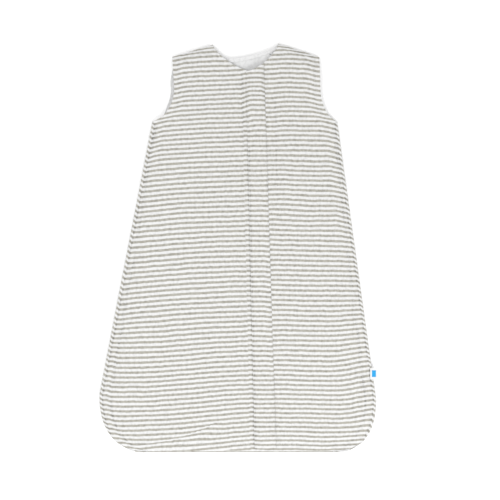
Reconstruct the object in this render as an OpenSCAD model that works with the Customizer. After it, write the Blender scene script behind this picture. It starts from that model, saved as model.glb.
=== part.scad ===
// A sleeveless baby sleeping bag, lying flat on its back with the front facing up.
// X runs across the bag, +Y towards the neck, and +Z up from the surface it lies on.
// The origin is on that surface, under the middle of the bag.

/* [Bag outline] */
// Length from the hem to the neck points
bag_length = 740; // [720:1:760]
// Widest part of the bag, across the hem corners
bag_width = 502; // [490:1:520]
// How far the armhole's lowest point is below the neck points
underarm_drop = 140; // [130:1:150]
// How far the shoulder tips are below the neck points
shoulder_drop = 24; // [20:1:28]
// How far the front neckline dips below the neck points
front_neck_drop = 50; // [48:1:52]
// How far the back neckline dips below the neck points
back_neck_drop = 28; // [26:1:30]

/* [Fabric] */
// Thickness of the striped outer muslin
outer_t = 1.2; // [0.8:0.1:1.2]
// Thickness of the white lining
lining_t = 0.8; // [0.5:0.1:0.8]
// Height of the empty space between front and back
cavity_h = 8; // [8:0.5:10]
// How far in from a closed seam the bag reaches its full height
seam_slope = 36; // [30:1:40]
// How far in from the shoulder seam the bag reaches its full height
shoulder_slope = 24; // [20:1:28]

/* [Zip and flap] */
// Tilt of the zip from the bag's length, in degrees
zip_tilt = 1.3; // [1:0.1:1.6]
// Length of zip that opens, down to the bottom stop
zip_opening = 606; // [600:1:612]
// Width of one zip tape, from the teeth's spine outwards
tape_w = 11; // [10:0.5:12]
// Spacing of the teeth on one side
tooth_pitch = 3.2; // [3:0.1:3.4]
// Length of the slider's body
slider_l = 13; // [12:0.5:14]
// Length of the pull tab
pull_l = 26; // [20:1:28]
// Height of the tunnel under the zip flap, over the closed slider
flap_arch = 4.4; // [4.4:0.1:5]
// Height of the tunnel under the rest of the zip flap
flap_low = 1.8; // [1.6:0.1:2.4]
// Distance from the zip's middle to the seam that the flap hangs on
flap_seam_v = 19.5; // [18:0.5:20]

/* [Labels] */
// Width of the woven label at the back of the neck
neck_label_w = 30; // [26:1:34]
// Height of the folded tag in the side seam
side_tag_h = 20; // [16:1:22]

/* [Hidden] */

// ---- Outline -------------------------------------------------------------------------

hem_y = -bag_length / 2;
top_y = bag_length / 2;
half_w = bag_width / 2;

// [x, y] of the points where the outline changes direction, left and right as seen from above.
neck_left = [-46, top_y - 2];
neck_right = [73, top_y];
tip_left = [-119, top_y - shoulder_drop];
tip_right = [147, top_y - shoulder_drop];
underarm_left = [-155, top_y - underarm_drop];
underarm_right = [179.5, top_y - underarm_drop];
hip_left = [-half_w, hem_y + 105];
hip_right = [half_w - 1, hem_y + 98];
hem_left_x = -160;          // where the left hem corner meets the straight hem
hem_right_x = 168;          // where the right hem corner meets the straight hem
armhole_h = 56;             // height of the armhole's curved part
armhole_left_x = -115;      // armhole edge where the curve ends
armhole_right_x = 149;
back_armhole_show = 7;      // how far the back's left armhole edge lies outside the front's
front_neck_x = 20;          // lowest point of the front neckline
back_neck_x = -22;          // lowest point of the back neckline
neck_power = [1.38, 1.4];   // roundness of the front neckline's left and right branch

function mix(a, b, t) = a + (b - a) * t;
function smooth(t) = t <= 0 ? 0 : t >= 1 ? 1 : t * t * (3 - 2 * t);
// Reach of a superellipse quarter of width w and height h, at height d from its centre.
function reach(d, w, h, n) = w * pow(max(0, 1 - pow(min(1, max(0, d / h)), n)), 1 / n);

// Outline x at height y, built for one side from its own points.
function side_x(y, neck, tip, armhole_x, underarm, hip, hem_x, hem_n, turn) =
    y > tip[1] ? mix(tip[0], neck[0], (y - tip[1]) / (neck[1] - tip[1])) :
    y > underarm[1] + armhole_h
        ? mix(armhole_x, tip[0], (y - underarm[1] - armhole_h) / (tip[1] - underarm[1] - armhole_h)) :
    y > underarm[1]
        ? underarm[0] - turn * reach(underarm[1] + armhole_h - y, abs(underarm[0] - armhole_x), armhole_h, 1.8) :
    y > hip[1] ? mix(hip[0], underarm[0], (y - hip[1]) / (underarm[1] - hip[1])) :
    hem_x + turn * reach(hip[1] - y, abs(hip[0] - hem_x), hip[1] - hem_y, hem_n);

function left_x(y) =
    side_x(y, neck_left, tip_left, armhole_left_x, underarm_left, hip_left, hem_left_x, 2.4, -1);
function right_x(y) =
    side_x(y, neck_right, tip_right, armhole_right_x, underarm_right, hip_right, hem_right_x, 2.5, 1);
// The back lies a little to the left of the front at the left armhole.
function back_left_x(y) =
    left_x(y) - back_armhole_show
        * smooth((y - underarm_left[1]) / 30) * smooth((tip_left[1] - 10 - y) / 40);

// Necklines: x of the left or right branch at height y, and their lowest heights.
function front_neck_left(y) =
    front_neck_x - reach(neck_left[1] - y, front_neck_x - neck_left[0], front_neck_drop - 2, neck_power[0]);
function front_neck_right(y) =
    front_neck_x + reach(neck_right[1] - y, neck_right[0] - front_neck_x, front_neck_drop, neck_power[1]);
// Height of the front neckline at x.
function front_neck_y(x) = x < front_neck_x
    ? neck_left[1] - reach(front_neck_x - x, front_neck_drop - 2, front_neck_x - neck_left[0], neck_power[0])
    : neck_right[1] - reach(x - front_neck_x, front_neck_drop, neck_right[0] - front_neck_x, neck_power[1]);
// The back neckline, out mm outside its edge, as its angle goes from 180 at the left to 360 at the right.
function back_neck_at(a, out) =
    let (w = cos(a) < 0 ? back_neck_x - neck_left[0] : neck_right[0] - back_neck_x)
    [back_neck_x + (w + out) * sign(cos(a)) * pow(abs(cos(a)), 1.25),
     top_y - (back_neck_drop + out) * pow(abs(sin(a)), 1.25)];

// ---- Height of the fabric ------------------------------------------------------------

seam_z = 5.6;                       // top of the back's layers where front and back are sewn
seam_t = 0.8;                       // thickness of the seam between them
tape_gap = 0.6;                     // room between lining and outer, where the zip tape lies
layer_gap = 0.05;                   // room between other layers that lie on each other
back_t = outer_t + layer_gap + lining_t;
front_t = lining_t + tape_gap + outer_t;
front_z = back_t + cavity_h;        // underside of the front's lining
front_top = front_z + front_t;      // top of the front's outer fabric

// Distance inwards from the shoulder seam that runs from tip to neck point.
function from_shoulder(x, y, tip, neck) =
    let (d = neck - tip, side = sign(d[0])) ((x - tip[0]) * d[1] - (y - tip[1]) * d[0]) * side / norm(d);
// 0 where front and back are sewn together, 1 where the bag has its full height.
function fullness(x, y) =
    let (closed = 1 - smooth((y - underarm_left[1] + 12) / 44),
         side = 1 - closed * (1 - smooth(min(x - left_x(y), right_x(y) - x) / seam_slope)),
         hem = smooth((y - hem_y) / seam_slope),
         shoulder = smooth(from_shoulder(x, y, tip_left, neck_left) / shoulder_slope)
            * smooth(from_shoulder(x, y, tip_right, neck_right) / shoulder_slope))
    side * hem * shoulder;
function back_base(x, y) = (seam_z - back_t) * (1 - fullness(x, y));
function front_base(x, y) = mix(seam_z + seam_t, front_z, fullness(x, y));
function front_surface(x, y) = front_base(x, y) + front_t;

// ---- Solids from rows of points -------------------------------------------------------

// A closed solid from rings, each listed over its top from left to right, then back underneath.
// Its top and underside are divided along the same diagonals, so layers laid on each other match.
module skin(rings) {
    n = len(rings[0]);
    m = len(rings);
    sides = [for (i = [0 : m - 2], j = [0 : n - 1])
        let (a = i * n + j, b = i * n + (j + 1) % n, c = b + n, d = a + n)
        each j < n / 2 ? [[a, d, c], [a, c, b]] : [[a, d, b], [b, d, c]]];
    cap = [for (k = [0 : n / 2 - 2]) each [[k, k + 1, n - 2 - k], [k, n - 2 - k, n - 1 - k]]];
    far_cap = [for (f = cap) [for (k = [2 : -1 : 0]) f[k] + (m - 1) * n]];
    polyhedron(points = [for (r = rings) each r], faces = concat(cap, sides, far_cap));
}

// A layer of fabric: rows at heights ys, from x_from(y) to x_to(y), lying on base(x, y) + lift.
module layer(ys, x_from, x_to, columns, base, lift, t)
    skin([for (y = ys)
        let (xs = [for (c = columns) mix(x_from(y), x_to(y), c)])
        concat(
            [for (x = xs) [x, y, base(x, y) + lift + t]],
            [for (k = [len(xs) - 1 : -1 : 0]) [xs[k], y, base(xs[k], y) + lift]])]);

// A narrow strip along a path of [x, y] points, w wide to its right, lying on base(x, y) + lift.
module strip(path, w, base, lift, t)
    skin([for (i = [0 : len(path) - 1])
        let (d = path[min(i + 1, len(path) - 1)] - path[max(i - 1, 0)],
             right = [d[1], -d[0]] / norm(d),
             a = path[i],
             b = path[i] + right * w,
             za = base(a[0], a[1]) + lift,
             zb = base(b[0], b[1]) + lift)
        [[a[0], a[1], za + t], [b[0], b[1], zb + t], [b[0], b[1], zb], [a[0], a[1], za]]]);

wide = [0, .03, .07, .12, .2, .35, .5, .65, .8, .88, .93, .97, 1];
from_edge = [0, .05, .12, .22, .36, .6, 1];
to_edge = [for (k = [6 : -1 : 0]) 1 - from_edge[k]];
narrow = [0, .5, 1];

hem_rows = [for (d = [0, 2, 6, 13, 22, 34, 50, 75, 105]) hem_y + d];
body_rows = [for (k = [1 : 5]) mix(hem_y + 105, underarm_left[1] - 14, k / 5)];
arm_rows = [for (d = [0, 4, 10, 18, 28, 40, 56, 80]) underarm_left[1] + d];
tip_rows = [for (d = [0, 12]) top_y - shoulder_drop + d];
all_rows = concat(hem_rows, body_rows, arm_rows, tip_rows);

// ---- Fold lines of the front's two halves ----------------------------------------------

zip_top = [34.5, top_y - 59];       // upper end of the zip, at the middle of its teeth
panel_edge_v = 6.5;                 // from the zip's middle to the folded edge of each panel
fold_gap = 0.15;                    // half the gap between a half's moving and fixed fabric
lapel_top_y = top_y - 13;           // above this the neckline belongs to the fixed fabric

// A point u mm down the zip and v mm to its right.
function on_zip(u, v) =
    zip_top + [u * sin(zip_tilt) + v * cos(zip_tilt), -u * cos(zip_tilt) + v * sin(zip_tilt)];
function zip_x(y, v) =
    let (u = (zip_top[1] - y + v * sin(zip_tilt)) / cos(zip_tilt)) on_zip(u, v)[0];

fold_left_end = on_zip(zip_opening, -flap_seam_v - 0.5);
fold_right_end = on_zip(zip_opening, panel_edge_v + 0.6);
function on_line(y, a, b) = mix(a[0], b[0], (y - a[1]) / (b[1] - a[1]));
function fold_left_x(y) = on_line(y, neck_left, fold_left_end);
function fold_right_x(y) = on_line(y, neck_right, fold_right_end);
foot_y = min(fold_left_end[1], fold_right_end[1]) - 0.5;

// Inner edges of the fixed fabric: the fold line, or the neckline above it and the zip below it.
function fixed_left_to(y) =
    y > lapel_top_y ? front_neck_left(y) :
    y > foot_y ? fold_left_x(y) - fold_gap : zip_x(y, -panel_edge_v);
function fixed_right_from(y) =
    y > lapel_top_y ? front_neck_right(y) :
    y > foot_y ? fold_right_x(y) + fold_gap : zip_x(y, panel_edge_v);
// Inner edges of the moving fabric: the neckline or the zip.
neck_low_y = top_y - front_neck_drop;
function lapel_left_to(y) =
    y > neck_low_y ? min(front_neck_left(y), zip_x(y, -panel_edge_v)) : zip_x(y, -panel_edge_v);
function lapel_right_from(y) =
    y > neck_low_y ? max(front_neck_right(y), zip_x(y, panel_edge_v)) : zip_x(y, panel_edge_v);

lapel_rows = concat(
    [foot_y + 1.5],
    [for (k = [1 : 6]) mix(foot_y, neck_low_y - 0.2, k / 6)],
    [for (k = [7 : -1 : 1]) mix(lapel_top_y, neck_low_y + 0.1, k / 7)],
    [lapel_top_y - 0.5]);
fixed_rows = concat(
    [for (y = all_rows) if (y < foot_y - 3) y],
    [foot_y - 0.1, foot_y + 0.1],
    [for (y = all_rows) if (y > foot_y + 3 && y < lapel_top_y - 3) y],
    [lapel_top_y - 0.1, lapel_top_y + 0.1, top_y - 9, top_y - 4]);

// ---- Fabric panels ----------------------------------------------------------------------

striped = [0.86, 0.85, 0.81];
white = [0.96, 0.96, 0.95];

module back_neck_cut()
    translate([0, 0, -1]) linear_extrude(front_top + 2) polygon([
        for (k = [0 : 24]) back_neck_at(180 + k * 7.5, 0),
        [neck_right[0], top_y + 9],
        [neck_left[0], top_y + 9]]);

module back_fabric(lift, t)
    difference() {
        layer(concat(all_rows, [top_y - 4, top_y - 1]), function (y) back_left_x(y),
              function (y) right_x(y), wide, function (x, y) back_base(x, y), lift, t);
        back_neck_cut();
    }

module front_fabric(left, lift, t)
    if (left)
        layer(fixed_rows, function (y) left_x(y), function (y) fixed_left_to(y), from_edge,
              function (x, y) front_base(x, y), lift, t);
    else
        layer(fixed_rows, function (y) fixed_right_from(y), function (y) right_x(y), to_edge,
              function (x, y) front_base(x, y), lift, t);

module lapel_fabric(left, lift, t)
    if (left)
        layer(lapel_rows, function (y) fold_left_x(y) + fold_gap, function (y) lapel_left_to(y),
              narrow, function (x, y) front_base(x, y), lift, t);
    else
        layer(lapel_rows, function (y) lapel_right_from(y), function (y) fold_right_x(y) - fold_gap,
              narrow, function (x, y) front_base(x, y), lift, t);

module back_panel() color(striped) back_fabric(0, outer_t);
module back_lining() color(white) back_fabric(outer_t + layer_gap, lining_t);
module front_left_panel() color(striped) front_fabric(true, lining_t + tape_gap, outer_t);
module front_right_panel() color(striped) front_fabric(false, lining_t + tape_gap, outer_t);
module front_left_lining() color(white) front_fabric(true, 0, lining_t);
module front_right_lining() color(white) front_fabric(false, 0, lining_t);
module front_left_lapel() color(striped) lapel_fabric(true, lining_t + tape_gap, outer_t);
module front_right_lapel() color(striped) lapel_fabric(false, lining_t + tape_gap, outer_t);
module front_left_lapel_lining() color(white) lapel_fabric(true, 0, lining_t);
module front_right_lapel_lining() color(white) lapel_fabric(false, 0, lining_t);

// The closed strip of front between the zip's lower end and the hem.
module end_fabric(lift, t)
    layer([for (d = [0, 2, 6, 13, 22, 34, 50, 68]) hem_y + d],
          function (y) zip_x(y, -panel_edge_v + 0.1), function (y) zip_x(y, panel_edge_v - 0.1),
          narrow, function (x, y) front_base(x, y), lift, t);
module zip_end_panel() color(striped) end_fabric(lining_t + tape_gap, outer_t);
module zip_end_lining() color(white) end_fabric(0, lining_t);

// ---- Seams, bindings, labels and stitching ------------------------------------------------

seam_w = 4;
thread_w = 0.8;
thread_t = 0.4;
thread_lift = 0.3;                  // clears the fabric's facets

side_ys = [for (k = [0 : 12]) mix(underarm_left[1] - 2, hip_left[1], k / 12)];
corner_ys = [for (d = [90, 75, 60, 45, 32, 22, 13, 7]) hem_y + d];
under_front = function (x, y) seam_z;
on_front = function (x, y) front_surface(x, y);
on_back_lining = function (x, y) back_base(x, y) + back_t;

module side_seam_left()
    color(striped)
    strip([for (y = concat(side_ys, corner_ys)) [left_x(y) + seam_w, y]], seam_w, under_front, 0, seam_t);
module side_seam_right()
    color(striped)
    strip([for (y = concat(side_ys, corner_ys)) [right_x(y), y]], seam_w, under_front, 0, seam_t);
module hem_seam()
    color(striped)
    strip([for (k = [0 : 8]) [mix(hem_right_x - 2, hem_left_x + 2, k / 8), hem_y + seam_w]],
          -seam_w, under_front, 0, seam_t);
module shoulder_seam(tip, neck, turn) {
    d = (neck - tip) / norm(neck - tip);
    inward = turn * [d[1], -d[0]];
    color(striped)
    strip([for (k = [0.04, 0.5, 0.94]) mix(tip, neck, k) + inward * (turn > 0 ? 0.2 : 0.2 + seam_w)],
          seam_w, under_front, 0, seam_t);
}
module shoulder_seam_left() shoulder_seam(tip_left, neck_left, 1);
module shoulder_seam_right() shoulder_seam(neck_right, tip_right, 1);

// The back neckline, from the left neck point round to the right one.
binding_w = 6;
binding_lift = 0.8;
module back_neck_binding()
    color(white)
    strip([for (a = [205 : 8 : 333]) back_neck_at(a, 1)], binding_w, on_back_lining, binding_lift, 0.6);

label_x = 11;
label_h = 18;
module neck_label()
    color("whitesmoke")
    translate([label_x - neck_label_w / 2, top_y - back_neck_drop + 2 - label_h, back_t + 0.1])
    cube([neck_label_w, label_h, 0.5]);

tag_y = hem_y + 143;
tag_w = 12;                         // from the seam to the tag's fold
ribbon_t = 0.35;
tag_t = 2 * ribbon_t + 0.1;         // both layers of the folded ribbon and the air between them
tag_z = front_surface(right_x(tag_y) - tag_w / 2, tag_y) + 0.2;
module side_tag()
    color("white")
    translate([half_w - tag_w, tag_y - side_tag_h / 2, tag_z]) {
        cube([tag_w, side_tag_h, ribbon_t]);
        translate([0, 0, tag_t - ribbon_t]) cube([tag_w, side_tag_h, ribbon_t]);
        translate([tag_w - tag_t, 0, 0]) cube([tag_t, side_tag_h, tag_t]);
    }
module side_tag_patch()
    color("deepskyblue")
    translate([half_w - tag_w * 0.75, tag_y - side_tag_h * 0.3, tag_z + tag_t])
    cube([tag_w * 0.6, side_tag_h * 0.6, 0.2]);

arm_inset = 10;
arm_path_ys = concat([for (d = [8, 14, 24, 40]) underarm_left[1] + d],
                     [for (k = [1 : 5]) mix(underarm_left[1] + 40, top_y - shoulder_drop - 8, k / 5)]);
module armhole_stitching_left()
    color(white)
    strip([for (y = arm_path_ys) [left_x(y) + arm_inset, y]], thread_w, on_front, thread_lift, thread_t);
module armhole_stitching_right()
    color(white)
    strip([for (y = arm_path_ys) [right_x(y) - arm_inset, y]], thread_w, on_front, thread_lift, thread_t);

// The side seams' topstitching runs further from the edge towards the hem.
function side_inset(y) = mix(20, 7, (y - hip_left[1]) / (underarm_left[1] - hip_left[1]));
module side_stitching_left()
    color(white)
    strip([for (y = side_ys) [left_x(y) + side_inset(y), y]], thread_w, on_front, thread_lift, thread_t);
module side_stitching_right()
    color(white)
    strip([for (y = side_ys) [right_x(y) - side_inset(y), y]], thread_w, on_front, thread_lift, thread_t);

neck_inset = 5;
module neck_stitching_left()
    color(white)
    strip([for (k = [7 : -1 : 1])
        let (y = mix(top_y - front_neck_drop + 1, lapel_top_y - 6, k / 8))
        [front_neck_left(y - neck_inset * 0.7) - neck_inset * 0.5, y - neck_inset]],
        thread_w, on_front, thread_lift, thread_t);
module neck_stitching_right()
    color(white)
    strip([for (k = [0 : 3])
        let (y = mix(neck_low_y + 19, lapel_top_y - 10, k / 3))
        [front_neck_right(y - neck_inset * 0.7) - neck_inset * 0.2, y - neck_inset]],
        thread_w, on_front, thread_lift, thread_t);
module placket_stitching()
    color(white)
    strip([for (k = [0 : 12]) on_zip(mix(4, 420, k / 12), -flap_seam_v - 7)],
          thread_w, on_front, thread_lift, thread_t);

// ---- Zip --------------------------------------------------------------------------------

tape_z = front_z + lining_t;        // underside of the tape
tape_t = 0.5;
chain_t = 2.6;                      // thickness of the teeth
chain_z = tape_z + tape_t / 2 - chain_t / 2;
spine_v = 3;                        // from the zip's middle to the spine's outer face
root_v = 1.5;                       // from the zip's middle to the roots of the teeth
tooth_reach = 1.1;                  // how far a tooth passes the zip's middle
tooth_w = 1.05;
first_tooth_u = 13;
slider_u = 14;                      // middle of the slider when the zip is closed
tape_top_u = -8;                    // the tapes reach past the stops, up to the neckline
tape_foot_u = zip_opening + 30;
stop_l = 3;

// Moves its children to the zip's upper end, with -Y down the zip.
module on_zip_frame() translate([zip_top[0], zip_top[1], 0]) rotate([0, 0, zip_tilt]) children();

// The right fold line crosses the tape towards its lower end: v at u, and u at v.
neck_right_d = neck_right - zip_top;
fold_top_u = neck_right_d[0] * sin(zip_tilt) - neck_right_d[1] * cos(zip_tilt);
fold_top_v = neck_right_d[0] * cos(zip_tilt) + neck_right_d[1] * sin(zip_tilt);
fold_foot_v = panel_edge_v + 0.6;
function fold_v(u) = mix(fold_foot_v, fold_top_v, (zip_opening - u) / (zip_opening - fold_top_u));
tape_edge_v = spine_v + tape_w;
cross_u = zip_opening - (zip_opening - fold_top_u) * (tape_edge_v - fold_foot_v) / (fold_top_v - fold_foot_v);

// One side's row of teeth from u0 to u1; side is -1 for the left row and 1 for the right.
module teeth(u0, u1, side) {
    start = u0 + (side > 0 ? tooth_pitch / 2 : 0);
    count = floor((u1 - start - tooth_w) / tooth_pitch);
    edge = [for (k = [0 : count])
        let (u = start + k * tooth_pitch)
        each [[root_v, -u], [-tooth_reach, -u], [-tooth_reach, -u - tooth_w], [root_v, -u - tooth_w]]];
    on_zip_frame()
    translate([0, 0, chain_z])
    linear_extrude(chain_t)
    mirror([side < 0 ? 1 : 0, 0])
    polygon(concat([[spine_v, -u0 + 0.5], [root_v, -u0 + 0.5]], edge, [[root_v, -u1], [spine_v, -u1]]));
}
module tape(outline)
    color("white")
    on_zip_frame()
    translate([0, 0, tape_z])
    linear_extrude(tape_t)
    polygon([for (p = outline) [p[1], -p[0]]]);

tape_end_u = zip_opening - 0.8;
module zip_tape_left()
    tape([[tape_top_u, -tape_edge_v], [tape_top_u, -spine_v], [tape_end_u, -spine_v], [tape_end_u, -tape_edge_v]]);
module zip_tape_right()
    tape([[tape_top_u, spine_v], [tape_top_u, tape_edge_v], [cross_u - 3, tape_edge_v],
          [tape_end_u, fold_v(tape_end_u) - fold_gap], [tape_end_u, spine_v]]);
module zip_foot_tape() {
    tape([[zip_opening, -tape_edge_v], [zip_opening, -spine_v], [tape_foot_u, -spine_v],
          [tape_foot_u, -tape_edge_v]]);
    tape([[cross_u + 3, tape_edge_v], [zip_opening, fold_v(zip_opening) + fold_gap], [zip_opening, spine_v],
          [tape_foot_u, spine_v], [tape_foot_u, tape_edge_v]]);
}
module zip_teeth_left() color("white") teeth(first_tooth_u, tape_end_u, -1);
module zip_teeth_right() color("white") teeth(first_tooth_u, tape_end_u, 1);
module stop(u, l, v0, v1)
    color("white")
    on_zip_frame()
    translate([v0, -u - l, chain_z])
    cube([v1 - v0, l, chain_t]);
module zip_top_stop_left() stop(3, stop_l, -spine_v + 0.02, -0.4);
module zip_top_stop_right() stop(3, stop_l, 0.4, spine_v - 0.02);
module zip_bottom_stop() stop(zip_opening + 0.4, stop_l + 1, -spine_v + 0.02, spine_v - 0.02);

// ---- Slider and pull ------------------------------------------------------------------------

slider_w = 10;
plate_t = 1.2;
chain_clear = 0.15;
slot_clear = 0.2;
bottom_plate_z = chain_z - chain_clear - plate_t;
top_plate_z = chain_z + chain_t + chain_clear;
pin_z = top_plate_z + plate_t + 1.35;
pin_u = 12;                         // pin, from the zip's upper end
pin_r = 0.7;
lug_v = 2;                          // inner face of each lug

module slider_plate(z)
    translate([0, -slider_u, z])
    linear_extrude(plate_t)
    union() {
        translate([-slider_w / 2, -slider_l / 2 + 3]) square([slider_w, slider_l - 6]);
        translate([-slider_w / 2 + 1.5, -slider_l / 2]) square([slider_w - 3, slider_l]);
        for (x = [-1, 1], y = [-1, 1])
            translate([x * (slider_w / 2 - 3), y * (slider_l / 2 - 3)]) circle(r = 3, $fn = 48);
    }
module slider_flange(side, z, h)
    translate([side < 0 ? -slider_w / 2 : spine_v + 0.2, -slider_u - slider_l / 2 + 3, z])
    cube([slider_w / 2 - spine_v - 0.2, slider_l - 6, h]);
module slider_lug(side)
    difference() {
        translate([side < 0 ? -lug_v - 1.2 : lug_v, -pin_u, 0])
        rotate([90, 0, 90])
        linear_extrude(1.2)
        union() {
            translate([0, pin_z]) circle(r = 1.25, $fn = 48);
            translate([-1.25, top_plate_z + plate_t]) square([2.5, pin_z - top_plate_z - plate_t]);
        }
        translate([-4, -pin_u, pin_z]) rotate([0, 90, 0]) cylinder(r = pin_r + 0.02, h = 8, $fn = 48);
    }
module zip_slider()
    color("silver")
    on_zip_frame()
    union() {
        slider_plate(bottom_plate_z);
        slider_plate(top_plate_z);
        for (side = [-1, 1]) {
            slider_flange(side, bottom_plate_z + plate_t, tape_z - slot_clear - bottom_plate_z - plate_t);
            slider_flange(side, tape_z + tape_t + slot_clear, top_plate_z - tape_z - tape_t - slot_clear);
            slider_lug(side);
        }
        translate([0, -slider_u + slider_l / 2 - 2.6, bottom_plate_z + plate_t / 2])
        cylinder(r = 1.6, h = top_plate_z - bottom_plate_z, $fn = 48);
    }
module slider_pin()
    color("silver")
    on_zip_frame()
    translate([-lug_v - 1.2, -pin_u, pin_z])
    rotate([0, 90, 0])
    cylinder(r = pin_r, h = 2 * lug_v + 2.4, $fn = 48);

pull_w = 7;
pull_t = 1.1;
pull_tilt = 3.6;                    // the closed pull's end leans down on the teeth, in degrees
module zip_pull()
    color("silver")
    on_zip_frame()
    translate([0, -pin_u, pin_z])
    rotate([pull_tilt, 0, 0])
    difference() {
        union() {
            translate([-lug_v + 0.15, 0, 0]) rotate([0, 90, 0]) cylinder(r = 1.2, h = 2 * lug_v - 0.3, $fn = 48);
            translate([-lug_v + 0.15, -4, -pull_t / 2]) cube([2 * lug_v - 0.3, 4, pull_t]);
            translate([-pull_w / 2, -pull_l + pull_w / 2, -pull_t / 2])
            cube([pull_w, pull_l - pull_w / 2 - 3.6, pull_t]);
            translate([0, -pull_l + pull_w / 2, -pull_t / 2]) cylinder(d = pull_w, h = pull_t, $fn = 64);
        }
        translate([-4, 0, 0]) rotate([0, 90, 0]) cylinder(r = pin_r + 0.1, h = 8, $fn = 48);
    }

// ---- Flap over the zip ------------------------------------------------------------------------

facing_t = 0.6;
flap_t = 1;
flap_split_u = 520;                 // above this the flap moves, below it is sewn down
flap_end_u = zip_opening + 68;
free_top_v = 13;                    // from the zip's middle to the flap's free edge, at the neck
free_bottom_v = 19;                 // and at the hem
flap_neck_gap = 1;                  // from the neckline down to the flap's upper edge

function free_v(u) = mix(free_top_v, free_bottom_v, max(0, u / flap_end_u));
// Height of the flap's tunnel: full over the slider and its pull, lower along the rest.
function arch(u) = mix(flap_arch, flap_low, smooth((u - 34) / 40));
// [v, height above the front panels] of the flap's underside at u.
function flap_line(u) = let (a = arch(u)) [
    [-flap_seam_v, 0.3], [-flap_seam_v + 4, 0.3 + 0.4 * (a - 0.3)], [-8.5, a], [6.5, a],
    [10.5, 0.4 + 0.45 * a], [free_v(u) - 0.5, 0.7], [free_v(u), 0.5]];
// Place along the zip of a point v mm beside it: u itself, or just under the neckline above the zip's end.
function flap_y(u, v) =
    let (x = on_zip(-8.5, v)[0], y = front_neck_y(x) - flap_neck_gap - zip_top[1])
    u < 0 ? (y - v * sin(zip_tilt)) / cos(zip_tilt) : -u;
function flap_ring(u, lift, t) =
    let (line = flap_line(u), n = len(line), p = on_zip(u, 0), top = front_surface(p[0], p[1]))
    concat(
        [for (q = line) [q[0], flap_y(u, q[0]), top + q[1] + lift + t]],
        [for (k = [n - 1 : -1 : 0]) [line[k][0], flap_y(u, line[k][0]), top + line[k][1] + lift]]);
moving_flap_us = concat([flap_split_u - 0.3, 300], [74, 66, 58, 50, 42, 34, 10, -12]);
fixed_flap_us = concat([for (d = [0, 6, 12, 20, 30, 40]) flap_end_u - d], [flap_split_u + 0.3]);
module flap_layer(us, lift, t) on_zip_frame() skin([for (u = us) flap_ring(u, lift, t)]);
module zip_flap() color(striped) flap_layer(moving_flap_us, facing_t + layer_gap, flap_t);
module zip_flap_facing() color(white) flap_layer(moving_flap_us, 0, facing_t);
module zip_flap_foot() color(striped) flap_layer(fixed_flap_us, facing_t + layer_gap, flap_t);
module zip_flap_foot_facing() color(white) flap_layer(fixed_flap_us, 0, facing_t);

flap_lift = front_top + facing_t + flap_t + 2 * layer_gap;
module flap_stitching()
    color(white)
    on_zip_frame()
    translate([-flap_seam_v + 2, -flap_split_u + 6, flap_lift + flap_low * 0.5])
    cube([thread_w, flap_split_u - 90, thread_t]);
module flap_bartack()
    color(white)
    on_zip_frame()
    translate([-5, -6, flap_lift + flap_arch]) {
        cube([11, thread_w, thread_t]);
        translate([7, 1.5, 0]) cube([thread_w, 10, thread_t]);
    }

back_panel();
back_lining();
front_left_panel();
front_right_panel();
front_left_lining();
front_right_lining();
side_seam_left();
side_seam_right();
hem_seam();
shoulder_seam_left();
shoulder_seam_right();
back_neck_binding();
neck_label();
side_tag();
side_tag_patch();
armhole_stitching_left();
armhole_stitching_right();
side_stitching_left();
side_stitching_right();
zip_foot_tape();
zip_bottom_stop();
zip_end_panel();
zip_end_lining();
zip_flap_foot();
zip_flap_foot_facing();
front_left_lapel();
front_left_lapel_lining();
zip_tape_left();
zip_teeth_left();
zip_top_stop_left();
neck_stitching_left();
placket_stitching();
front_right_lapel();
front_right_lapel_lining();
zip_tape_right();
zip_teeth_right();
zip_top_stop_right();
neck_stitching_right();
zip_flap();
zip_flap_facing();
flap_stitching();
flap_bartack();
zip_slider();
slider_pin();
zip_pull();
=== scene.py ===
"""Looks for a striped muslin baby sleeping bag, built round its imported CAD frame.

Lengths are in millimetres in the row frame until mesh() turns them into metres.
"""

import math

import bpy
import numpy as np
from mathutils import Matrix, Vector, noise


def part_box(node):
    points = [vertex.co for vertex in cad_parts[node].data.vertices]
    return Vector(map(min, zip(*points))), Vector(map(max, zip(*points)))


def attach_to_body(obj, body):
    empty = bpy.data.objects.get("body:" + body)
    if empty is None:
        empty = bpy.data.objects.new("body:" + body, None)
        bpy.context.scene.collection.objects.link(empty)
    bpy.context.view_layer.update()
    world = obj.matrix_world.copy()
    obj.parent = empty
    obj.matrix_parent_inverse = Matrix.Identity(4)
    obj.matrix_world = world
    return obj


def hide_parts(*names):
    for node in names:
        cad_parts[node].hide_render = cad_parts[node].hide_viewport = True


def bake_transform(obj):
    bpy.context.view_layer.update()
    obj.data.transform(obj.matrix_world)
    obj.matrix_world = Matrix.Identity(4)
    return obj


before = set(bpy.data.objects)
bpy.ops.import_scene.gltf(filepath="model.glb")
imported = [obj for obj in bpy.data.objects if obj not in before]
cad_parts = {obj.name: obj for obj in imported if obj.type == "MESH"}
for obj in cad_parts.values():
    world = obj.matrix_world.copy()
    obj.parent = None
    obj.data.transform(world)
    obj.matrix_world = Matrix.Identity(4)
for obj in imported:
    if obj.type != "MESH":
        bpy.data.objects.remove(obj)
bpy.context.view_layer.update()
MM = 0.001

# ---- Shape of the bag, as in the CAD -----------------------------------------------------------

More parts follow.
